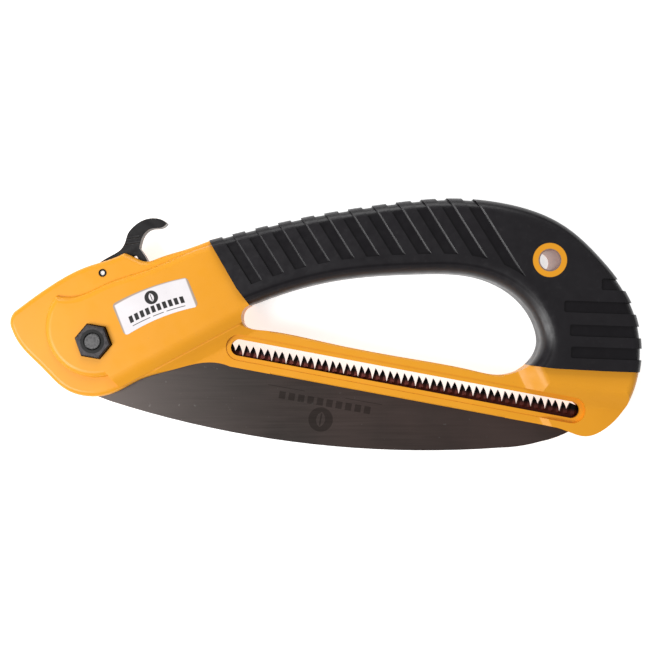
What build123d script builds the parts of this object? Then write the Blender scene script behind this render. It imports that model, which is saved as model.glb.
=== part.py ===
from build123d import *
import math
import os

# Folding pruning saw, folded, lying flat on its left side.  Millimetres.
# X runs along the handle (nose at -X), Y lies in the blade's plane (grip at +Y), Z is the thickness.
# The back of the grip lies on Z = 0 and the blade's plane is at Z = MID.

os.makedirs("parts", exist_ok=True)

# ---- driving dimensions ----
MID = 12.5                  # height of the blade's plane, half of the grip's thickness
GRIP_HALF = 12.5            # half-thicknesses, measured from the blade's plane
CORE_HALF = 10.0
ISLAND_HALF = 10.0
ISLAND_ROUND = 3.0
CHEEK_HALF = 6.8
LOBE_HALF = 5.6
BAR_HALF = 3.6
CHANNEL_HALF = 1.6
SLOT_HALF = 3.2             # slot for the lock lever
SLACK = 0.03                # radial room around pins that don't turn
SKIN = 2.6                  # thickness of the soft grip over its core
OUTER_ROUND = 5.0
INNER_ROUND = 7.5
RIB_COUNT = 11
RIB_START = -41.5           # X of the first pocket's right wall, at Y = 40
RIB_PITCH = 11.9
RIB_LEAN = 58.0             # degrees from X, leaning back
POCKET_WIDTH = 5.4          # along X
POCKET_DEPTH = 0.8
WALL_SLOPE = 0.75           # run of the slope on a pocket's right wall
SMOOTH_BAND = 8.4           # plain band along the hand opening
REAR_POCKETS = ((124.0, 17.2), (107.2, 7.3), (109.8, -3.4), (110.2, -13.3))
REAR_POCKET_WIDTH = 5.2
REAR_TILT = -2.0

PIVOT = (-104.3, -7.6)
BOLT_R = 4.0
BUSH_R = 5.0
NUT_AF = 14.0
NUT_TURN = -10.0
NUT_HEIGHT = 6.0
NUT_SEAT = MID + 6.6
INSERT_R = 5.4
INSERT_HEIGHT = 1.8
HEAD_AF = 13.0
HEAD_HEIGHT = 5.2
HEAD_SEAT = HEAD_HEIGHT + 0.05
WASHER_R = 9.0
WASHER_THICK = 0.8

BLADE_THICK = 1.4
TANG_R = 24.5
TOOTH_PITCH = 3.357
TOOTH_COUNT = 46
TOOTH_START = (-39.55, -8.96)
TOOTH_TILT = -10.03         # degrees, the line of the tooth tips
SHALLOW_GULLET = (2.3, 3.4)     # reach along the tooth line, depth
DEEP_GULLET = (2.7, 5.3)
FLANK = ((0.35, 0.22), (0.70, 0.56), (1.0, 1.0))    # the convex flank: shares of reach and depth
NOTCH_DEPTH = 3.0
NOTCH_WIDTH = 5.8
NOTCH_ANGLE = 45.0          # where the lever's tooth meets the tang, seen from the pivot

LEVER_PIN = (-100.9, 23.4)
LEVER_PIN_R = 1.75
LEVER_HALF = 3.0
HUB_R = 5.3
HUB_WEB_HALF = 1.1
LEVER_TOOTH = 4.4
SPRING_WIRE = 0.8
SPRING_R = 2.9
SPRING_PITCH = 0.85
SPRING_TURNS = 1.5
SPRING_LEG_TURN = -30.0

HANG = (100.8, 28.9)
HANG_RING_R = 7.7
HANG_BORE_R = 4.5
SLEEVE_WALL = 0.6

WINDOW_START = (-39.3, -10.55)
WINDOW_LENGTH = 154.5
WINDOW_TILT = -10.63
WINDOW_R = 3.75
WINDOW_RIM = 2.2
RIM_DEPTH = 0.45

LABEL_SINK = 0.3
LABEL_THICK = 0.35

SCREWS = [(-60.0, 25.5), (-49.0, 0.5), (4.0, 35.5), (66.0, 38.5), (119.0, -8.0), (127.0, -29.5)]
SCREW_HEAD_R = 3.0
SCREW_HEAD_HEIGHT = 2.0
SCREW_R = 1.6
SCREW_SEAT = MID - 2.6
SCREW_TOP = MID + 4.4

STOP_PIN_R = 2.0


def polar(centre, radius, angle):
    """A point at a radius and an angle in degrees from a centre."""
    turn = math.radians(angle)
    return (centre[0] + radius * math.cos(turn), centre[1] + radius * math.sin(turn))


def along(start, tilt, distance, rise=0.0):
    """A point a distance along a tilted line and a rise above it."""
    c, s = math.cos(math.radians(tilt)), math.sin(math.radians(tilt))
    return (start[0] + distance * c - rise * s, start[1] + distance * s + rise * c)


def parallel(edge, gap, count):
    """Points beside an edge, at a gap to the left of its direction."""
    points = []
    for step in range(count + 1):
        spot = edge.position_at(step / count)
        way = edge.tangent_at(step / count)
        points.append((spot.X - gap * way.Y, spot.Y + gap * way.X))
    return points


STOP_PIN = along(TOOTH_START, TOOTH_TILT, -36.0, -3.0 + STOP_PIN_R + 0.3)

# ---- outlines ----
with BuildSketch() as silhouette:
    with BuildLine():
        Spline((-141.3, 6.0), (-125.8, 17.2), (-107.4, 26.8), (-98.2, 29.6), (-91.5, 32.5))
        Spline((-91.5, 32.5), (-87.7, 31.0), (-81.7, 28.7), (-75.3, 30.5), (-64.5, 33.9),
               (-53.1, 38.0))
        grip_back = Spline((-53.1, 38.0), (-39.6, 41.5), (-7.7, 48.9), (25.0, 54.3), (58.2, 57.1),
                           (79.6, 55.1), (106.9, 45.5), (124.7, 29.8), (137.8, 11.5),
                           (142.6, -4.0), (142.3, -21.8))
        Spline((142.3, -21.8), (139.2, -32.4), (130.0, -45.4), (118.0, -50.9), (108.5, -47.9),
               (102.7, -46.4))
        Line((102.7, -46.4), (-43.3, -19.2))
        Spline((-43.3, -19.2), (-51.5, -17.3), (-70.7, -21.0), (-84.4, -25.1), (-97.1, -31.5),
               (-106.4, -32.9), (-118.0, -29.7), (-128.7, -19.9), (-139.0, -9.2), (-142.6, -2.4))
        ThreePointArc((-142.6, -2.4), (-143.4, 1.6), (-141.3, 6.0))
    make_face()

with BuildSketch() as hand_opening:
    with BuildLine():
        grip_front = Spline((-29.7, 10.3), (6.9, 20.4), (43.4, 23.2), (71.2, 21.1), (86.9, 13.0),
                            (96.5, 0.0), (98.0, -9.8), (92.2, -18.9), (81.5, -23.1),
                            (68.0, -21.1), (40.0, -15.8), (0.0, -8.15), (-29.7, -2.6),
                            (-36.8, -0.3), (-37.2, 6.0), periodic=True)
    make_face()

with BuildSketch() as grip_zone:
    with BuildLine():
        Polyline((-56.0, 44.5), (-52.2, 37.8), (-39.8, 16.3), (-33.6, 8.0), (-27.0, 0.0),
                 (80.0, -14.0), (89.9, -18.1), (103.1, -19.8), (125.7, -21.0), (150.0, -21.9),
                 (150.0, 65.0), (-56.0, 65.0), close=True)
    make_face()

with BuildSketch() as handle_face:
    add(silhouette.sketch)
    add(hand_opening.sketch, mode=Mode.SUBTRACT)

with BuildSketch() as core_face:
    with BuildLine():
        core_back = Spline(*parallel(grip_back, -SKIN, 16))
        Polyline(core_back @ 1, (140.0, -45.0), (-56.0, -45.0), core_back @ 0)
    make_face()
    with BuildLine():
        Spline(*parallel(grip_front, SKIN, 30)[:-1], periodic=True)
    make_face(mode=Mode.SUBTRACT)
    add(grip_zone.sketch, mode=Mode.INTERSECT)

with BuildSketch() as island_face:
    with BuildLine():
        Spline((-121.6, 13.0), (-111.6, 13.1), (-100.0, 18.2), (-83.0, 24.0), (-63.5, 32.0),
               (-40.0, 39.0))
        Polyline((-40.0, 39.0), (-20.0, 39.0), (-20.0, 10.5), (-93.0, -28.6), (-97.6, -23.2))
        ThreePointArc((-97.6, -23.2), (-117.0, -19.8), (-121.6, 13.0))
    make_face()

with BuildSketch() as channel:
    with Locations(PIVOT):
        Circle(TANG_R + 1.0)
    with BuildLine():
        Polyline(along(TOOTH_START, TOOTH_TILT, -62, 1.6), along(TOOTH_START, TOOTH_TILT, 163, 1.6),
                 (127.0, -44.0), (119.0, -62.0), (-98.0, -62.0), (-160.0, -30.0), (-160.0, 35.0),
                 (-118.7, 24.8), (-109.5, 21.6), (-100.6, 18.2), PIVOT, close=True)
    make_face()

with BuildSketch() as lever_slot:
    with Locations(LEVER_PIN):
        Circle(HUB_R + 0.8)
    with BuildLine():
        Polyline((-106.0, 27.0), (-103.0, 36.0), (-78.5, 36.0), (-78.8, 26.0), (-76.8, 12.0),
                 (-82.5, 5.0), (-90.0, 5.0), (-99.0, 17.0), close=True)
    make_face()

with BuildSketch() as label_face:
    with BuildLine():
        ThreePointArc((-96.0, 9.0), (-79.5, 16.6), (-62.2, 21.2))
        Line((-62.2, 21.2), (-56.8, 8.1))
        ThreePointArc((-56.8, 8.1), (-73.7, 3.2), (-90.1, -5.4))
        Line((-90.1, -5.4), (-96.0, 9.0))
    make_face()
    fillet(label_face.vertices(), 1.8)


def rounded_block(height, outer_round, inner_round):
    """The handle's outline as a block above the blade's plane, with rounded upper edges."""
    with BuildPart() as block:
        with BuildSketch(Plane.XY.offset(MID)):
            add(handle_face.sketch)
        extrude(amount=height)
        top = block.faces().sort_by(Axis.Z)[-1]
        outer, inner = top.outer_wire().edges(), top.inner_wires()[0].edges()
        fillet(outer, outer_round)
        fillet(inner, inner_round)
    return block.part


def soft_step(start, way, high, low, run):
    """A cutter that lowers all beyond a point, in a direction, by a soft wave between heights."""
    turn = math.radians(way)
    falls = Plane(origin=(*start, MID), x_dir=(math.cos(turn), math.sin(turn), 0),
                  z_dir=(math.sin(turn), -math.cos(turn), 0))
    with BuildPart() as cutter:
        with BuildSketch(falls):
            shares = [step / 6 for step in range(7)]
            wave = [(run * share, low + (high + 0.01 - low) * (1 + math.cos(math.pi * share)) / 2)
                    for share in shares]
            with BuildLine():
                Spline(*wave, tangents=[(1.0, 0.0), (1.0, 0.0)])
                Polyline(wave[-1], (90.0, low), (90.0, 20.0), (0.0, 20.0), wave[0])
            make_face()
        extrude(amount=90.0, both=True)
    return cutter.part


def half_handle():
    """The half of the moulded handle above the blade's plane, before its fastener pockets."""
    # raised island around the pivot, rounded along its curved sides
    with BuildPart() as island:
        with BuildSketch(Plane.XY.offset(MID + 1)):
            add(island_face.sketch)
        extrude(amount=ISLAND_HALF - 1)
        sides = island.faces().sort_by(Axis.Z)[-1].edges().filter_by(GeomType.LINE, reverse=True)
        fillet(sides, ISLAND_ROUND)
    with BuildPart() as front:
        with BuildSketch(Plane.XY.offset(MID)):
            with Locations((-100.0, 0.0)):
                Rectangle(150.0, 120.0)
        extrude(amount=CHEEK_HALF)
        add(rounded_block(CHEEK_HALF, 2.5, 2.0), mode=Mode.INTERSECT)
        add(island.part)
        add(soft_step((-100.0, -24.9), -61.9, ISLAND_HALF, BAR_HALF, 14.5), mode=Mode.SUBTRACT)
    with BuildPart() as rear:
        with BuildSketch(Plane.XY.offset(MID)):
            with Locations((120.0, -35.0)):
                Rectangle(76.0, 60.0)
        extrude(amount=CORE_HALF)
        add(rounded_block(CORE_HALF, 4.0, 5.0), mode=Mode.INTERSECT)
        # the base of the grip falls in soft steps to the lobe and to the bar
        add(soft_step((92.5, -24.5), -97.3, CORE_HALF, LOBE_HALF, 10.0), mode=Mode.SUBTRACT)
        add(soft_step((101.0, -24.0), 205.0, CORE_HALF, BAR_HALF, 12.0), mode=Mode.SUBTRACT)
    window_centre = along(WINDOW_START, WINDOW_TILT, WINDOW_LENGTH / 2)
    with BuildPart() as body:
        add(rounded_block(BAR_HALF, 1.0, 1.0))
        add(front.part)
        add(rear.part)
        with BuildSketch(Plane.XY.offset(MID)):
            add(grip_zone.sketch)
            add(hand_opening.sketch)
        extrude(amount=GRIP_HALF + 2, mode=Mode.SUBTRACT)
        with BuildSketch(Plane.XY.offset(MID)):
            add(core_face.sketch)
        extrude(amount=CORE_HALF)
        with BuildSketch(Plane.XY.offset(MID)):
            with Locations(HANG):
                Circle(HANG_RING_R)
        extrude(amount=GRIP_HALF - 0.1)
        # blade channel, lever slot and tooth window
        with BuildSketch(Plane.XY.offset(MID)):
            add(channel.sketch)
        extrude(amount=CHANNEL_HALF, mode=Mode.SUBTRACT)
        with BuildSketch(Plane.XY.offset(MID)):
            add(lever_slot.sketch)
        extrude(amount=SLOT_HALF, mode=Mode.SUBTRACT)
        with BuildSketch(Plane.XY.offset(MID)):
            with Locations(Location((*window_centre, 0), (0, 0, WINDOW_TILT))):
                SlotCenterToCenter(WINDOW_LENGTH, 2 * WINDOW_R)
        extrude(amount=GRIP_HALF, mode=Mode.SUBTRACT)
        with BuildSketch(Plane.XY.offset(MID + BAR_HALF - RIM_DEPTH)):
            with Locations(Location((*window_centre, 0), (0, 0, WINDOW_TILT))):
                SlotCenterToCenter(WINDOW_LENGTH, 2 * (WINDOW_R + WINDOW_RIM))
        extrude(amount=GRIP_HALF, mode=Mode.SUBTRACT)
        # bores
        with BuildSketch(Plane.XY.offset(MID)):
            with Locations(PIVOT):
                Circle(BOLT_R + 0.1)
            with Locations(LEVER_PIN):
                Circle(LEVER_PIN_R + SLACK)
            with Locations(HANG):
                Circle(HANG_BORE_R + SLEEVE_WALL)
        extrude(amount=GRIP_HALF + 1, mode=Mode.SUBTRACT)
        with BuildSketch(Plane.XY.offset(MID)):
            with Locations(PIVOT):
                Circle(BUSH_R)
        extrude(amount=CHANNEL_HALF + 1.6, mode=Mode.SUBTRACT)
        with BuildSketch(Plane.XY.offset(MID)):
            with Locations(STOP_PIN):
                Circle(STOP_PIN_R + SLACK)
        extrude(amount=CHANNEL_HALF + 3.0, mode=Mode.SUBTRACT)
    return body.part


def mirrored(part):
    """The same piece on the other side of the blade's plane."""
    return mirror(part, about=Plane.XY.offset(MID), mode=Mode.PRIVATE)


# ---- handle shells ----
common = half_handle()

with BuildPart() as right_shell:
    add(common)
    with BuildSketch(Plane.XY.offset(NUT_SEAT)):
        with Locations(PIVOT):
            RegularPolygon((NUT_AF + 1.0) / 2, 6, rotation=NUT_TURN, major_radius=False)
    extrude(amount=10, mode=Mode.SUBTRACT)
    with BuildSketch(Plane.XY.offset(MID + ISLAND_HALF - LABEL_SINK)):
        add(label_face.sketch)
    extrude(amount=2, mode=Mode.SUBTRACT)
    with BuildSketch(Plane.XY.offset(MID)):
        with Locations(*SCREWS):
            Circle(SCREW_R)
    extrude(amount=SCREW_TOP - MID, mode=Mode.SUBTRACT)
right_shell.part.label = "right_shell"
export_step(right_shell.part, "parts/right_shell.step")

with BuildPart() as left_shell:
    add(mirrored(common))
    with BuildSketch(Plane.XY.offset(HEAD_SEAT)):
        with Locations(PIVOT):
            RegularPolygon((HEAD_AF + 0.6) / 2, 6, rotation=NUT_TURN, major_radius=False)
    extrude(amount=-10, mode=Mode.SUBTRACT)
    with BuildSketch(Plane.XY.offset(MID)):
        with Locations(*SCREWS):
            Circle(SCREW_R)
    extrude(amount=-GRIP_HALF, mode=Mode.SUBTRACT)
    with BuildSketch(Plane.XY.offset(SCREW_SEAT)):
        with Locations(*SCREWS):
            Circle(SCREW_HEAD_R + 0.2)
    extrude(amount=-GRIP_HALF, mode=Mode.SUBTRACT)
left_shell.part.label = "left_shell"
export_step(left_shell.part, "parts/left_shell.step")

# ---- soft grip, moulded over the core of each shell ----
lean = math.radians(RIB_LEAN)
with BuildSketch() as smooth_band:
    with BuildLine():
        Spline(*parallel(grip_front, SMOOTH_BAND, 30)[:-1], periodic=True)
    make_face()

with BuildSketch() as pocket_face:
    for pocket in range(RIB_COUNT):
        side = RIB_START + pocket * RIB_PITCH
        foot = (side + 40.0 / math.tan(lean), 0.0)
        head = (side - 40.0 / math.tan(lean), 80.0)
        with BuildLine():
            Polyline(foot, head, (head[0] - POCKET_WIDTH, 80.0), (foot[0] - POCKET_WIDTH, 0.0),
                     close=True)
        make_face()
    add(smooth_band.sketch, mode=Mode.SUBTRACT)
    with Locations((56.0, -60.0)):
        Rectangle(400.0, 120.0, mode=Mode.SUBTRACT)
    for start, middle in REAR_POCKETS:
        with Locations(Location((start + 25.0, middle, 0), (0, 0, REAR_TILT))):
            RectangleRounded(50.0, REAR_POCKET_WIDTH, 1.0)

with BuildPart() as pocket_floor:
    with BuildSketch(Plane.XY.offset(MID)):
        with BuildLine():
            floor_back = Spline(*parallel(grip_back, -POCKET_DEPTH, 16))
            Polyline(floor_back @ 1, (150.0, -60.0), (-80.0, -60.0), (-70.0, 30.0),
                     floor_back @ 0)
        make_face()
    extrude(amount=GRIP_HALF - POCKET_DEPTH)
    fillet(pocket_floor.faces().sort_by(Axis.Z)[-1].edges().sort_by(SortBy.LENGTH)[-1],
           OUTER_ROUND - POCKET_DEPTH)

with BuildPart() as pockets:
    with BuildSketch(Plane.XY.offset(MID)):
        add(pocket_face.sketch)
    extrude(amount=GRIP_HALF + 1)
    add(pocket_floor.part, mode=Mode.SUBTRACT)

# slope on the right wall of each pocket
with BuildPart() as wall_slopes:
    for pocket in range(RIB_COUNT):
        foot = RIB_START + pocket * RIB_PITCH + 40.0 / math.tan(lean)
        wall = Plane(origin=(foot, 0, MID + GRIP_HALF - POCKET_DEPTH),
                     x_dir=(math.sin(lean), math.cos(lean), 0),
                     z_dir=(-math.cos(lean), math.sin(lean), 0))
        with BuildSketch(wall):
            with BuildLine():
                Polyline((-0.5, 0.0), (0.0, 0.0), (2 * WALL_SLOPE, -2 * POCKET_DEPTH),
                         (-0.5, -2 * POCKET_DEPTH), close=True)
            make_face()
        extrude(amount=80.0)
    with BuildSketch(Plane.XY.offset(MID)):
        add(smooth_band.sketch)
    extrude(amount=GRIP_HALF + 5, mode=Mode.SUBTRACT)

with BuildPart() as grip_blank:
    with BuildSketch(Plane.XY.offset(MID)):
        add(grip_zone.sketch)
    extrude(amount=GRIP_HALF)
    add(rounded_block(GRIP_HALF, OUTER_ROUND, INNER_ROUND), mode=Mode.INTERSECT)
    add(pockets.part, mode=Mode.SUBTRACT)
    add(wall_slopes.part, mode=Mode.SUBTRACT)
    with BuildSketch(Plane.XY.offset(MID)):
        add(core_face.sketch)
    extrude(amount=CORE_HALF, mode=Mode.SUBTRACT)
    with BuildSketch(Plane.XY.offset(MID)):
        with Locations(HANG):
            Circle(HANG_RING_R)
    extrude(amount=GRIP_HALF, mode=Mode.SUBTRACT)

with BuildPart() as right_grip:
    add(grip_blank.part)
right_grip.part.label = "right_grip"
export_step(right_grip.part, "parts/right_grip.step")

with BuildPart() as left_grip:
    add(mirrored(grip_blank.part))
    with BuildSketch(Plane.XY):
        with Locations(*SCREWS):
            Circle(SCREW_HEAD_R + 0.2)
    extrude(amount=MID - CORE_HALF + 0.5, mode=Mode.SUBTRACT)
left_grip.part.label = "left_grip"
export_step(left_grip.part, "parts/left_grip.step")

# ---- pivot ----
with BuildPart() as pivot_bolt:
    with BuildSketch(Plane.XY.offset(HEAD_SEAT)):
        with Locations(PIVOT):
            RegularPolygon(HEAD_AF / 2, 6, rotation=NUT_TURN, major_radius=False)
    extrude(amount=-HEAD_HEIGHT)
    chamfer(pivot_bolt.faces().sort_by(Axis.Z)[0].edges(), 0.5)
    with BuildSketch(Plane.XY.offset(HEAD_SEAT)):
        with Locations(PIVOT):
            Circle(BOLT_R)
    extrude(amount=NUT_SEAT + NUT_HEIGHT + 0.3 - HEAD_SEAT)
    chamfer(pivot_bolt.faces().sort_by(Axis.Z)[-1].edges(), 0.7)
pivot_bolt.part.label = "pivot_bolt"
export_step(pivot_bolt.part, "parts/pivot_bolt.step")

with BuildPart() as pivot_nut:
    with BuildSketch(Plane.XY.offset(NUT_SEAT)):
        with Locations(PIVOT):
            RegularPolygon(NUT_AF / 2, 6, rotation=NUT_TURN, major_radius=False)
            Circle(BOLT_R, mode=Mode.SUBTRACT)
    extrude(amount=NUT_HEIGHT)
    with BuildSketch(Plane.XY.offset(NUT_SEAT + NUT_HEIGHT)):
        with Locations(PIVOT):
            Circle(INSERT_R)
    extrude(amount=-INSERT_HEIGHT, mode=Mode.SUBTRACT)
    crown = pivot_nut.faces().sort_by(Axis.Z)[-1].edges().filter_by(GeomType.LINE)
    chamfer(crown, 0.5)
pivot_nut.part.label = "pivot_nut"
export_step(pivot_nut.part, "parts/pivot_nut.step")

with BuildPart() as nut_insert:
    with BuildSketch(Plane.XY.offset(NUT_SEAT + NUT_HEIGHT)):
        with Locations(PIVOT):
            Circle(INSERT_R)
            Circle(BOLT_R, mode=Mode.SUBTRACT)
    extrude(amount=-INSERT_HEIGHT)
nut_insert.part.label = "nut_insert"
export_step(nut_insert.part, "parts/nut_insert.step")

with BuildPart() as pivot_bush:
    with BuildSketch(Plane.XY.offset(MID)):
        with Locations(PIVOT):
            Circle(BUSH_R)
            Circle(BOLT_R + 0.05, mode=Mode.SUBTRACT)
    extrude(amount=CHANNEL_HALF + 1.5, both=True)
pivot_bush.part.label = "pivot_bush"
export_step(pivot_bush.part, "parts/pivot_bush.step")

WASHER_LIFT = (CHANNEL_HALF + BLADE_THICK / 2 - WASHER_THICK) / 2
for side, lift in (("right", WASHER_LIFT), ("left", -WASHER_LIFT - WASHER_THICK)):
    with BuildPart() as blade_washer:
        with BuildSketch(Plane.XY.offset(MID + lift)):
            with Locations(PIVOT):
                Circle(WASHER_R)
                Circle(BUSH_R, mode=Mode.SUBTRACT)
        extrude(amount=WASHER_THICK)
    blade_washer.part.label = "blade_washer_" + side
    export_step(blade_washer.part, "parts/blade_washer_" + side + ".step")

# ---- blade ----
# Teeth stand in pairs, with a deep gullet between pairs and a shallow one inside each.
tooth_line = [along(TOOTH_START, TOOTH_TILT, -2 * TOOTH_PITCH - 2.0, -DEEP_GULLET[1])]
for tooth in range(-2, TOOTH_COUNT + 1):
    reach, depth = DEEP_GULLET if tooth % 2 == 0 else SHALLOW_GULLET
    tooth_line.append(along(TOOTH_START, TOOTH_TILT, tooth * TOOTH_PITCH))
    for out, down in FLANK:
        tooth_line.append(along(TOOTH_START, TOOTH_TILT, tooth * TOOTH_PITCH + out * reach,
                                -down * depth))
tooth_line = tooth_line[:-len(FLANK)]
tooth_line.append(along(TOOTH_START, TOOTH_TILT, TOOTH_COUNT * TOOTH_PITCH + 7.5, -1.8))
neck = along(TOOTH_START, TOOTH_TILT, -11.5, -3.0)
heel = along(TOOTH_START, TOOTH_TILT, -38.0, -3.0)
toe = (122.3, -42.0)

with BuildPart() as saw_blade:
    with BuildSketch(Plane.XY.offset(MID - BLADE_THICK / 2)):
        with BuildLine():
            Polyline(PIVOT, polar(PIVOT, TANG_R, 12), heel, neck, *tooth_line, toe)
            ThreePointArc(toe, (112.5, -48.9), (98.8, -53.8))
            ThreePointArc((98.8, -53.8), (89.7, -55.8), (80.4, -56.6))
            ThreePointArc((80.4, -56.6), (-11.5, -54.3), (-98.8, -35.1))
            Polyline((-98.8, -35.1), polar(PIVOT, TANG_R, -97), PIVOT)
        make_face()
        with Locations(PIVOT):
            Circle(TANG_R)
            Circle(BUSH_R + 0.05, mode=Mode.SUBTRACT)
        for stop in (NOTCH_ANGLE, NOTCH_ANGLE + 180):
            with Locations(Location((*polar(PIVOT, TANG_R, stop), 0), (0, 0, stop))):
                Rectangle(2 * NOTCH_DEPTH, NOTCH_WIDTH, mode=Mode.SUBTRACT)
    extrude(amount=BLADE_THICK)
saw_blade.part.label = "saw_blade"
export_step(saw_blade.part, "parts/saw_blade.step")

with BuildPart() as stop_pin:
    with BuildSketch(Plane.XY.offset(MID)):
        with Locations(STOP_PIN):
            Circle(STOP_PIN_R)
    extrude(amount=CHANNEL_HALF + 2.9, both=True)
stop_pin.part.label = "stop_pin"
export_step(stop_pin.part, "parts/stop_pin.step")

# ---- lock lever ----
tooth_tip = polar(PIVOT, TANG_R + 0.35, NOTCH_ANGLE)
across = NOTCH_ANGLE - 90
with BuildPart() as lock_lever:
    with BuildSketch(Plane.XY.offset(MID)):
        with BuildLine():
            # crown of the hub and outer curve of the thumb hook
            Spline((-105.9, 25.5), (-101.2, 29.5), (-97.1, 31.8), (-93.0, 34.7), (-91.2, 38.2),
                   (-90.2, 41.4), (-87.7, 44.6), (-83.1, 47.7), (-78.7, 48.6), (-74.4, 47.8),
                   (-72.3, 46.4))
            # inner curve of the hook
            Spline((-72.3, 46.4), (-76.2, 44.1), (-79.0, 43.9), (-82.0, 42.2), (-84.4, 37.5),
                   (-84.9, 34.8))
            # back leg, running down to the tooth
            Spline((-84.9, 34.8), (-83.0, 32.2), (-81.3, 29.1), (-80.4, 22.0), (-81.0, 15.5))
            Polyline((-81.0, 15.5), polar(tooth_tip, LEVER_TOOTH / 2, across),
                     polar(tooth_tip, LEVER_TOOTH / 2, across + 180), (-86.2, 13.6), (-91.0, 18.2),
                     (-98.5, 18.9), (-105.9, 20.5), (-105.9, 25.5))
        make_face()
        with BuildLine():
            Polyline((-88.8, 31.2), (-86.4, 31.9), (-85.1, 29.6), (-84.6, 24.5), (-87.5, 23.5),
                     (-90.5, 26.8), close=True)
        make_face(mode=Mode.SUBTRACT)
        with Locations(LEVER_PIN):
            Circle(HUB_R)
            Circle(LEVER_PIN_R + 0.08, mode=Mode.SUBTRACT)
    extrude(amount=LEVER_HALF, both=True)
    # pocket for the coil of the spring, with a way out for each of its legs
    with BuildSketch(Plane.XY.offset(MID + HUB_WEB_HALF)):
        with Locations(LEVER_PIN):
            Circle(SPRING_R + 1.2)
        with Locations(Location((*LEVER_PIN, 0), (0, 0, SPRING_LEG_TURN))):
            with Locations((6.0, SPRING_R)):
                Rectangle(12.0, 1.6)
        with Locations(Location((*LEVER_PIN, 0), (0, 0, 180))):
            with Locations((4.0, SPRING_R)):
                Rectangle(8.0, 3.0)
    extrude(amount=LEVER_HALF, mode=Mode.SUBTRACT)
lock_lever.part.label = "lock_lever"
export_step(lock_lever.part, "parts/lock_lever.step")

with BuildPart() as lever_pin:
    with BuildSketch(Plane.XY.offset(MID)):
        with Locations(LEVER_PIN):
            Circle(LEVER_PIN_R)
    extrude(amount=CHEEK_HALF + 0.3, both=True)
    for end in (-1, 1):
        with BuildSketch(Plane.XY.offset(MID + end * (CHEEK_HALF + 0.3))):
            with Locations(LEVER_PIN):
                Circle(LEVER_PIN_R - 0.6)
        extrude(amount=-end * 0.5, mode=Mode.SUBTRACT)
lever_pin.part.label = "lever_pin"
export_step(lever_pin.part, "parts/lever_pin.step")

# coil of the lever's torsion spring, around the pin
coil_base = MID + HUB_WEB_HALF + SPRING_WIRE / 2 + 0.05
with BuildPart() as lever_spring:
    with BuildLine() as wire:
        coil = Helix(SPRING_PITCH, SPRING_PITCH * SPRING_TURNS, SPRING_R,
                     center=(*LEVER_PIN, coil_base), direction=(0, 0, 1))
    with BuildSketch(Plane(origin=coil @ 0, z_dir=coil % 0)):
        Circle(SPRING_WIRE / 2)
    sweep(path=wire.wires()[0])
lever_spring.part.label = "lever_spring"
export_step(lever_spring.part, "parts/lever_spring.step")

# ---- fasteners, hanging sleeve and label ----
with BuildPart() as shell_screws:
    with BuildSketch(Plane.XY.offset(SCREW_SEAT)):
        with Locations(*SCREWS):
            Circle(SCREW_HEAD_R)
    extrude(amount=-SCREW_HEAD_HEIGHT)
    fillet(shell_screws.edges().group_by(Axis.Z)[0], 0.6)
    with BuildSketch(Plane.XY.offset(SCREW_SEAT)):
        with Locations(*SCREWS):
            Circle(SCREW_R)
    extrude(amount=SCREW_TOP - 0.5 - SCREW_SEAT)
    with BuildSketch(Plane.XY.offset(SCREW_SEAT - SCREW_HEAD_HEIGHT)):
        with Locations(*SCREWS):
            Rectangle(3.4, 0.8)
            Rectangle(0.8, 3.4)
    extrude(amount=1.0, mode=Mode.SUBTRACT)
shell_screws.part.label = "shell_screws"
export_step(shell_screws.part, "parts/shell_screws.step")

with BuildPart() as hang_hole_sleeve:
    with BuildSketch(Plane.XY.offset(0.1)):
        with Locations(HANG):
            Circle(HANG_BORE_R + SLEEVE_WALL)
            Circle(HANG_BORE_R, mode=Mode.SUBTRACT)
    extrude(amount=2 * MID - 0.2)
hang_hole_sleeve.part.label = "hang_hole_sleeve"
export_step(hang_hole_sleeve.part, "parts/hang_hole_sleeve.step")

with BuildPart() as side_label:
    with BuildSketch(Plane.XY.offset(MID + ISLAND_HALF - LABEL_SINK)):
        add(label_face.sketch)
    extrude(amount=LABEL_THICK)
side_label.part.label = "side_label"
export_step(side_label.part, "parts/side_label.step")
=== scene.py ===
import math

import bpy
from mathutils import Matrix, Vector

MM = 0.001                      # places on the object below are in millimetres, as in the CAD
TOOTH_START = (-39.55, -8.96)   # first tooth tip of the folded blade
TOOTH_TILT = -10.03             # degrees, the line of the tooth tips
TOOTH_PITCH = 3.357
MIDDLE = 0.0125                 # metres, height of the blade's plane
POCKET_FLOOR = 0.0117           # metres from the blade's plane to the floor of the rib pockets
LABEL_CENTRE = (-76.4, 8.2)
LABEL_TURN = 21.0               # degrees
LABEL_HALF = (17.6, 7.8)        # half of its length and height
LABEL_SAG = 1.6                 # how far the ends of the label's print droop
LEVER_PIN = (-100.9, 23.4)
THUMB_RIBS = (-88.5, 37.2)      # the cross ribs of the thumb hook
THUMB_TURN = 8.0                # degrees
EDGE_ANGLE = 38.0               # degrees, only edges sharper than this are softened
FLOOR_SIZE = 30.0               # metres
FLOOR_DROP = 0.0002             # metres below the object
FLOOR_GLOW = 0.70
WORLD_STRENGTH = 0.33
CAMERA_HEIGHT = 0.4925          # metres
CAMERA_SHIFT = -0.00023
CAMERA_VIEW = 34.6              # degrees

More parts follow.
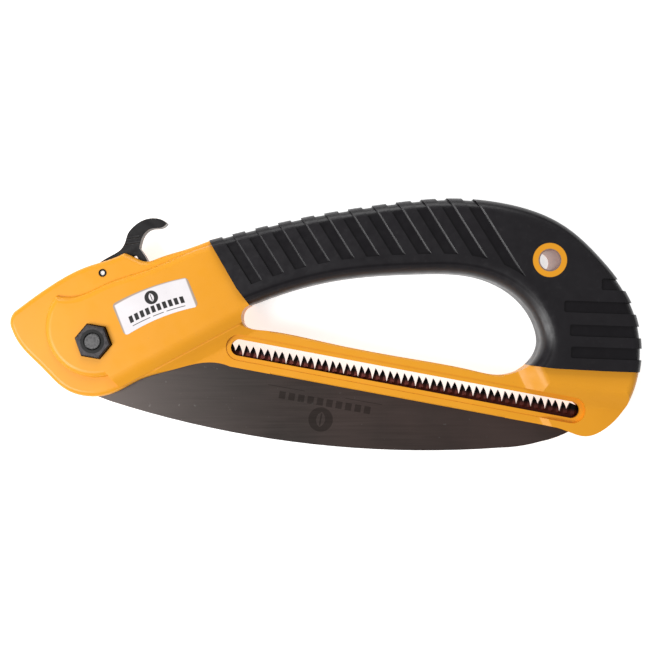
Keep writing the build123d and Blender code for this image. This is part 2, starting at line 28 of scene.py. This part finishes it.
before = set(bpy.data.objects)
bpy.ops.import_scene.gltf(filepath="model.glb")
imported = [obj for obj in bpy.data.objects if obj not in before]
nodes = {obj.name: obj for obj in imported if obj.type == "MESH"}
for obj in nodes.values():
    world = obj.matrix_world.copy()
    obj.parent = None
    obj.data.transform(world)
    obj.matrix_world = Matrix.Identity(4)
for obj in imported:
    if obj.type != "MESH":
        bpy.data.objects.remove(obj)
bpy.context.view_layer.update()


# ---- material helpers ----
class Look:
    """A principled material with a few procedural layers."""

    def __init__(self, name, roughness, metallic=0.0, specular=0.5):
        self.material = bpy.data.materials.new(name)
        self.material.use_nodes = True
        self.tree = self.material.node_tree
        self.shader = self.tree.nodes["Principled BSDF"]
        self.shader.inputs["Roughness"].default_value = roughness
        self.shader.inputs["Metallic"].default_value = metallic
        self.shader.inputs["Specular IOR Level"].default_value = specular
        self.place = self.tree.nodes.new("ShaderNodeTexCoord").outputs["Object"]

    def node(self, kind, **settings):
        made = self.tree.nodes.new(kind)
        for key, value in settings.items():
            setattr(made, key, value)
        return made

    def link(self, output, socket):
        self.tree.links.new(output, socket)

    def scaled(self, factors, turn=0.0):
        mapping = self.node("ShaderNodeMapping")
        mapping.inputs["Scale"].default_value = factors
        mapping.inputs["Rotation"].default_value = (0.0, 0.0, turn)
        self.link(self.place, mapping.inputs["Vector"])
        return mapping.outputs["Vector"]

    def noise(self, scale, detail=3.0, vector=None, roughness=0.5):
        made = self.node("ShaderNodeTexNoise")
        made.inputs["Scale"].default_value = scale
        made.inputs["Detail"].default_value = detail
        made.inputs["Roughness"].default_value = roughness
        self.link(vector if vector is not None else self.place, made.inputs["Vector"])
        return made.outputs["Fac"]

    def span(self, value, low, high, to_low=0.0, to_high=1.0):
        made = self.node("ShaderNodeMapRange")
        limits = {"From Min": low, "From Max": high, "To Min": to_low, "To Max": to_high}
        for socket, number in limits.items():
            made.inputs[socket].default_value = number
        self.link(value, made.inputs["Value"])
        return made.outputs["Result"]

    def math(self, operation, a, b):
        made = self.node("ShaderNodeMath", operation=operation)
        for index, item in enumerate((a, b)):
            if isinstance(item, (int, float)):
                made.inputs[index].default_value = item
            else:
                self.link(item, made.inputs[index])
        return made.outputs["Value"]

    def mix(self, factor, a, b):
        made = self.node("ShaderNodeMix", data_type="RGBA")
        self.link(factor, made.inputs["Factor"])
        for index, item in ((6, a), (7, b)):
            if isinstance(item, tuple):
                made.inputs[index].default_value = (*item, 1.0)
            else:
                self.link(item, made.inputs[index])
        return made.outputs[2]

    def placed(self, start, turn=0.0):
        """Flat coordinates measured from a point, in millimetres, turned by degrees."""
        mapping = self.node("ShaderNodeMapping", vector_type="TEXTURE")
        mapping.inputs["Location"].default_value = (start[0] * MM, start[1] * MM, 0.0)
        mapping.inputs["Rotation"].default_value = (0.0, 0.0, math.radians(turn))
        mapping.inputs["Scale"].default_value = (MM, MM, MM)
        self.link(self.place, mapping.inputs["Vector"])
        parts = self.node("ShaderNodeSeparateXYZ")
        self.link(mapping.outputs["Vector"], parts.inputs["Vector"])
        return parts.outputs["X"], parts.outputs["Y"]

    def band(self, value, centre, half, soft):
        away = self.math("ABSOLUTE", self.math("SUBTRACT", value, centre), 0.0)
        return self.span(away, half - soft, half + soft, 1.0, 0.0)

    def bar(self, flat, centre, half, soft=0.06):
        return self.math("MULTIPLY", self.band(flat[0], centre[0], half[0], soft),
                         self.band(flat[1], centre[1], half[1], soft))

    def disc(self, flat, centre, radius, soft=0.08):
        squares = []
        for value, middle in zip(flat, centre):
            away = self.math("SUBTRACT", value, middle)
            squares.append(self.math("MULTIPLY", away, away))
        reach = self.math("SQRT", self.math("ADD", *squares), 0.0)
        return self.span(reach, radius - soft, radius + soft, 1.0, 0.0)

    def roundel(self, flat, centre, radius):
        """A filled disc with a plain leaf left clear inside it, split by its midrib."""
        size = 0.72 * radius
        left = self.disc(flat, (centre[0] - 0.5 * size, centre[1]), size)
        right = self.disc(flat, (centre[0] + 0.5 * size, centre[1]), size)
        midrib = self.bar(flat, centre, (0.06 * radius, 0.5 * radius))
        leaf = self.math("SUBTRACT", self.math("MULTIPLY", left, right), midrib)
        inside = self.math("MAXIMUM", leaf, 0.0)
        outside = self.math("SUBTRACT", 1.0, inside)
        return self.math("MULTIPLY", self.disc(flat, centre, radius), outside)

    def blocks(self, flat, centre, half):
        """A row of ten equal blocks."""
        width = half[0] / 5.0
        offset = self.math("DIVIDE", self.math("SUBTRACT", flat[0], centre[0] - half[0]), width)
        gap = self.band(self.math("FRACT", offset, 0.0), 0.5, 0.33, 0.03)
        return self.math("MULTIPLY", gap, self.bar(flat, centre, half))

    def colour(self, output):
        self.link(output, self.shader.inputs["Base Color"])

    def rough(self, output):
        self.link(output, self.shader.inputs["Roughness"])

    def bump(self, height, distance, strength=1.0):
        made = self.node("ShaderNodeBump")
        made.inputs["Distance"].default_value = distance
        made.inputs["Strength"].default_value = strength
        self.link(height, made.inputs["Height"])
        self.link(made.outputs["Normal"], self.shader.inputs["Normal"])


def moulded_yellow():
    look = Look("yellow_nylon_look", 0.38, specular=0.4)
    cloud = look.span(look.noise(22.0, 4.0), 0.3, 0.7)
    speck = look.span(look.noise(700.0, 2.0), 0.70, 0.78)
    base = look.mix(cloud, (0.80, 0.325, 0.012), (0.86, 0.362, 0.017))
    look.colour(look.mix(look.math("MULTIPLY", speck, 0.2), base, (0.45, 0.20, 0.03)))
    look.rough(look.span(look.noise(160.0, 5.0), 0.3, 0.7, 0.30, 0.42))
    look.bump(look.noise(2600.0, 2.0), 0.00002, 0.3)
    return look.material


def soft_rubber():
    """Soft black rubber, with painted shade in the rib pockets of both faces, where colour is
    darker and specular lower.
    """
    look = Look("black_rubber_look", 0.4, specular=0.42)
    cloud = look.span(look.noise(60.0, 5.0), 0.3, 0.7)
    dust = look.span(look.noise(500.0, 6.0), 0.60, 0.74)
    base = look.mix(cloud, (0.0060, 0.0048, 0.0066), (0.0090, 0.0076, 0.0098))
    base = look.mix(look.math("MULTIPLY", dust, 0.22), base, (0.030, 0.028, 0.030))
    parts = look.node("ShaderNodeSeparateXYZ")
    look.link(look.place, parts.inputs["Vector"])
    rise = look.math("ABSOLUTE", look.math("SUBTRACT", parts.outputs["Z"], MIDDLE), 0.0)
    # painted shade: the recessed rib pockets get a darker colour and a lower specular, standing in
    # for the shade inside them
    painted_pocket_shade = look.band(rise, POCKET_FLOOR, 0.00025, 0.0001)
    look.colour(look.mix(look.math("MULTIPLY", painted_pocket_shade, 0.5), base, (0.0025, 0.0018, 0.0030)))
    look.link(look.span(painted_pocket_shade, 0.0, 1.0, 0.42, 0.30), look.shader.inputs["Specular IOR Level"])
    look.rough(look.span(look.noise(300.0, 4.0), 0.3, 0.7, 0.30, 0.42))
    look.bump(look.noise(4200.0, 2.0), 0.00002, 0.3)
    return look.material


def metal(name, low, high, rough_low, rough_high, grain_scale=900.0):
    look = Look(name, rough_low, metallic=1.0)
    streak = look.noise(grain_scale, 4.0)
    look.colour(look.mix(look.span(streak, 0.3, 0.7), low, high))
    look.rough(look.span(streak, 0.3, 0.7, rough_low, rough_high))
    look.bump(streak, 0.00001, 0.4)
    return look.material


def plain_plastic(name, low, high, roughness, specular=0.5):
    look = Look(name, roughness, specular=specular)
    look.colour(look.mix(look.span(look.noise(80.0, 4.0), 0.3, 0.7), low, high))
    look.rough(look.span(look.noise(400.0, 4.0), 0.3, 0.7, roughness - 0.06, roughness + 0.08))
    look.bump(look.noise(3000.0, 2.0), 0.00002, 0.3)
    return look.material


def blade_surface():
    """Satin steel, drawn along its length, with hardened teeth and bevels ground on them."""
    look = Look("blade_look", 0.4, metallic=1.0)
    along, height = look.placed(TOOTH_START, TOOTH_TILT)
    drawn = look.noise(1.0, 4.0, look.scaled((45.0, 1500.0, 45.0), math.radians(-TOOTH_TILT)))
    cloud = look.span(look.noise(16.0, 4.0), 0.35, 0.65)
    steel = look.mix(look.span(drawn, 0.3, 0.7), (0.050, 0.044, 0.041), (0.059, 0.051, 0.048))
    warm = look.math("MULTIPLY", cloud, look.span(along, 5.0, 120.0, 0.25, 0.9))
    steel = look.mix(warm, steel, (0.125, 0.088, 0.080))
    # painted light: the blade's colour is lightened towards its left end, nearer the key light
    steel = look.mix(look.span(along, -50.0, 25.0, 0.55, 0.0), steel, (0.135, 0.115, 0.108))
    flecks = look.math("MULTIPLY", look.span(look.noise(420.0, 2.0), 0.72, 0.77), 0.35)
    steel = look.mix(flecks, steel, (0.20, 0.19, 0.18))
    row = (along, height)
    mark = look.math("MAXIMUM", look.roundel(row, (43.0, -27.6), 5.6),
                     look.blocks(row, (43.5, -19.6), (22.0, 1.7)))
    for rule in (25.0, 61.0):
        mark = look.math("MAXIMUM", mark, look.bar(row, (rule, -16.0), (8.5, 0.14)))
    steel = look.mix(look.math("MULTIPLY", mark, 0.5), steel, (0.018, 0.015, 0.013))
    root = look.span(height, -9.6, -6.4)
    steel = look.mix(root, steel, (0.095, 0.026, 0.021))
    tip = look.span(height, -4.3, -2.6)
    look.colour(look.mix(tip, steel, (0.009, 0.008, 0.008)))
    look.rough(look.span(drawn, 0.3, 0.7, 0.38, 0.44))
    teeth = look.math("DIVIDE", look.math("ADD", along, 20.2 * TOOTH_PITCH), TOOTH_PITCH)
    step = look.math("FRACT", teeth, 0.0)
    slope = look.math("ABSOLUTE", look.math("SUBTRACT", step, 0.45), 0.0)
    bevel = look.math("MULTIPLY", slope, look.span(height, -5.6, -4.8))
    look.bump(look.math("ADD", bevel, look.math("MULTIPLY", drawn, 0.003)), 0.0011, 0.7)
    return look.material


def label_surface():
    """A white film bearing a plain roundel, a row of blocks and thin rules in ink, with painted
    shade along its edge.
    """
    look = Look("label_look", 0.32, specular=0.4)
    flat = look.placed(LABEL_CENTRE, LABEL_TURN)
    away = look.math("MULTIPLY", flat[0], flat[0])
    sag = look.math("MULTIPLY", away, LABEL_SAG / LABEL_HALF[0] ** 2)
    flat = (flat[0], look.math("ADD", flat[1], look.math("SUBTRACT", sag, 0.7 * LABEL_SAG)))
    cloud = look.span(look.noise(80.0, 4.0), 0.3, 0.7)
    paper = look.mix(cloud, (0.80, 0.76, 0.78), (0.87, 0.83, 0.85))
    # painted shade: a thin brown line along the label's edge stands in for the shadow at its
    # border
    inside_edge_shade = look.bar(flat, (0.0, 0.0), (LABEL_HALF[0] - 0.5, LABEL_HALF[1] - 0.5), 0.25)
    paper_with_edge_shade = look.mix(inside_edge_shade, (0.42, 0.33, 0.26), paper)
    ink = look.math("MAXIMUM", look.roundel(flat, (-0.3, 3.3), 3.1),
                    look.blocks(flat, (0.0, -1.9), (13.6, 1.55)))
    for middle, half in ((-8.3, 4.4), (8.3, 4.4), (0.0, 2.6)):
        ink = look.math("MAXIMUM", ink, look.bar(flat, (middle, -4.9), (half, 0.16)))
    look.colour(look.mix(ink, paper_with_edge_shade, (0.022, 0.020, 0.021)))
    look.rough(look.span(look.noise(400.0, 4.0), 0.3, 0.7, 0.26, 0.4))
    look.bump(look.noise(3000.0, 2.0), 0.00002, 0.3)
    return look.material


def pin_with_painted_glint():
    """A blackened pin with a bright disc painted on its ends as a highlight."""
    look = Look("pin_look", 0.35, metallic=1.0)
    flat = look.placed(LEVER_PIN)
    # painted highlight: a bright disc painted at the pin's centre stands in for the light seen in
    # its end
    bright = look.disc(flat, (0.0, 0.0), 1.0, 0.15)
    grain = look.noise(900.0, 3.0)
    look.colour(look.mix(bright, (0.02, 0.019, 0.019), (0.85, 0.80, 0.76)))
    look.rough(look.span(grain, 0.3, 0.7, 0.3, 0.45))
    look.bump(grain, 0.00001, 0.4)
    return look.material


def lever_surface():
    """Satin black, with two cross ribs where the thumb rests."""
    look = Look("lever_look", 0.3, specular=0.45)
    flat = look.placed(THUMB_RIBS, THUMB_TURN)
    ribs = look.math("MAXIMUM", look.bar(flat, (0.0, 0.0), (4.0, 0.35), 0.25),
                     look.bar(flat, (0.0, 2.5), (4.0, 0.35), 0.25))
    look.colour(look.mix(look.span(look.noise(80.0, 4.0), 0.3, 0.7), (0.0045, 0.0040, 0.0042),
                         (0.010, 0.009, 0.0095)))
    look.rough(look.span(look.noise(400.0, 4.0), 0.3, 0.7, 0.28, 0.42))
    grain = look.math("MULTIPLY", look.noise(3000.0, 2.0), 0.03)
    look.bump(look.math("ADD", ribs, grain), 0.0005, 0.7)
    return look.material


yellow = moulded_yellow()
rubber = soft_rubber()
black_steel = metal("black_steel_look", (0.045, 0.042, 0.044), (0.075, 0.070, 0.072), 0.34, 0.46)
worn_steel = metal("worn_steel_look", (0.075, 0.074, 0.075), (0.13, 0.128, 0.128), 0.30, 0.5,
                   grain_scale=1400.0)
bright_steel = metal("steel_look", (0.50, 0.44, 0.42), (0.66, 0.60, 0.57), 0.28, 0.4)
sleeve_steel = metal("sleeve_look", (0.50, 0.33, 0.29), (0.66, 0.46, 0.41), 0.32, 0.45)
black_nylon = plain_plastic("black_nylon_look", (0.004, 0.004, 0.004), (0.008, 0.008, 0.008), 0.45,
                            specular=0.3)
white_nylon = plain_plastic("white_nylon_look", (0.70, 0.69, 0.66), (0.80, 0.79, 0.76), 0.5)

LOOKS = {
    "right_shell": yellow,
    "left_shell": yellow,
    "right_grip": rubber,
    "left_grip": rubber,
    "pivot_bolt": worn_steel,
    "pivot_nut": black_steel,
    "nut_insert": black_nylon,
    "pivot_bush": bright_steel,
    "blade_washer_right": white_nylon,
    "blade_washer_left": white_nylon,
    "saw_blade": blade_surface(),
    "stop_pin": bright_steel,
    "lock_lever": lever_surface(),
    "lever_pin": pin_with_painted_glint(),
    "lever_spring": bright_steel,
    "shell_screws": black_steel,
    "hang_hole_sleeve": sleeve_steel,
    "side_label": label_surface(),
}
for name, material in LOOKS.items():
    mesh = nodes[name].data
    mesh.materials.clear()
    mesh.materials.append(material)


# ---- softened edges that catch the light ----
def soften(name, width):
    bevel = nodes[name].modifiers.new("edge", "BEVEL")
    bevel.width = width * MM
    bevel.segments = 2
    bevel.limit_method = "ANGLE"
    bevel.angle_limit = math.radians(EDGE_ANGLE)


soften("lock_lever", 0.35)
soften("pivot_nut", 0.25)


# ---- floor, light and camera ----
def floor():
    bpy.ops.mesh.primitive_plane_add(size=FLOOR_SIZE, location=(0.0, 0.0, -FLOOR_DROP))
    plane = bpy.context.object
    plane.name = "floor"
    look = Look("floor_look", 0.9, specular=0.1)
    look.shader.inputs["Base Color"].default_value = (0.80, 0.80, 0.80, 1.0)
    look.shader.inputs["Emission Color"].default_value = (1.0, 1.0, 1.0, 1.0)
    look.shader.inputs["Emission Strength"].default_value = FLOOR_GLOW
    plane.data.materials.append(look.material)


def area_light(name, place, aim, size, power):
    data = bpy.data.lights.new(name, "AREA")
    data.size = size
    data.energy = power
    lamp = bpy.data.objects.new(name, data)
    lamp.location = place
    lamp.rotation_euler = (Vector(aim) - Vector(place)).to_track_quat("-Z", "Y").to_euler()
    bpy.context.scene.collection.objects.link(lamp)
    return lamp


floor()
world = bpy.data.worlds.new("studio")
world.use_nodes = True
background = world.node_tree.nodes["Background"]
background.inputs["Color"].default_value = (1.0, 1.0, 1.0, 1.0)
background.inputs["Strength"].default_value = WORLD_STRENGTH
bpy.context.scene.world = world
area_light("key", (-0.46, -0.22, 0.58), (-0.05, 0.0, 0.0), 0.4, 4.6)
area_light("top", (0.0, 0.66, 0.42), (0.0, 0.0, 0.0), 0.5, 2.7)
# a low light that reaches only the dark pieces, for the bright edges of the ribs
rake = area_light("rake", (-0.72, -0.34, 0.24), (0.0, 0.02, 0.0), 0.36, 3.4)
dark_pieces = bpy.data.collections.new("dark_pieces")
for name in ("right_grip", "left_grip", "lock_lever", "pivot_nut", "pivot_bolt", "saw_blade"):
    dark_pieces.objects.link(nodes[name])
rake.light_linking.receiver_collection = dark_pieces

camera_data = bpy.data.cameras.new("camera")
camera_data.angle = math.radians(CAMERA_VIEW)
camera = bpy.data.objects.new("camera", camera_data)
camera.location = (0.0, CAMERA_SHIFT, CAMERA_HEIGHT)
bpy.context.scene.collection.objects.link(camera)
bpy.context.scene.camera = camera
bpy.context.scene.view_settings.view_transform = "Standard"
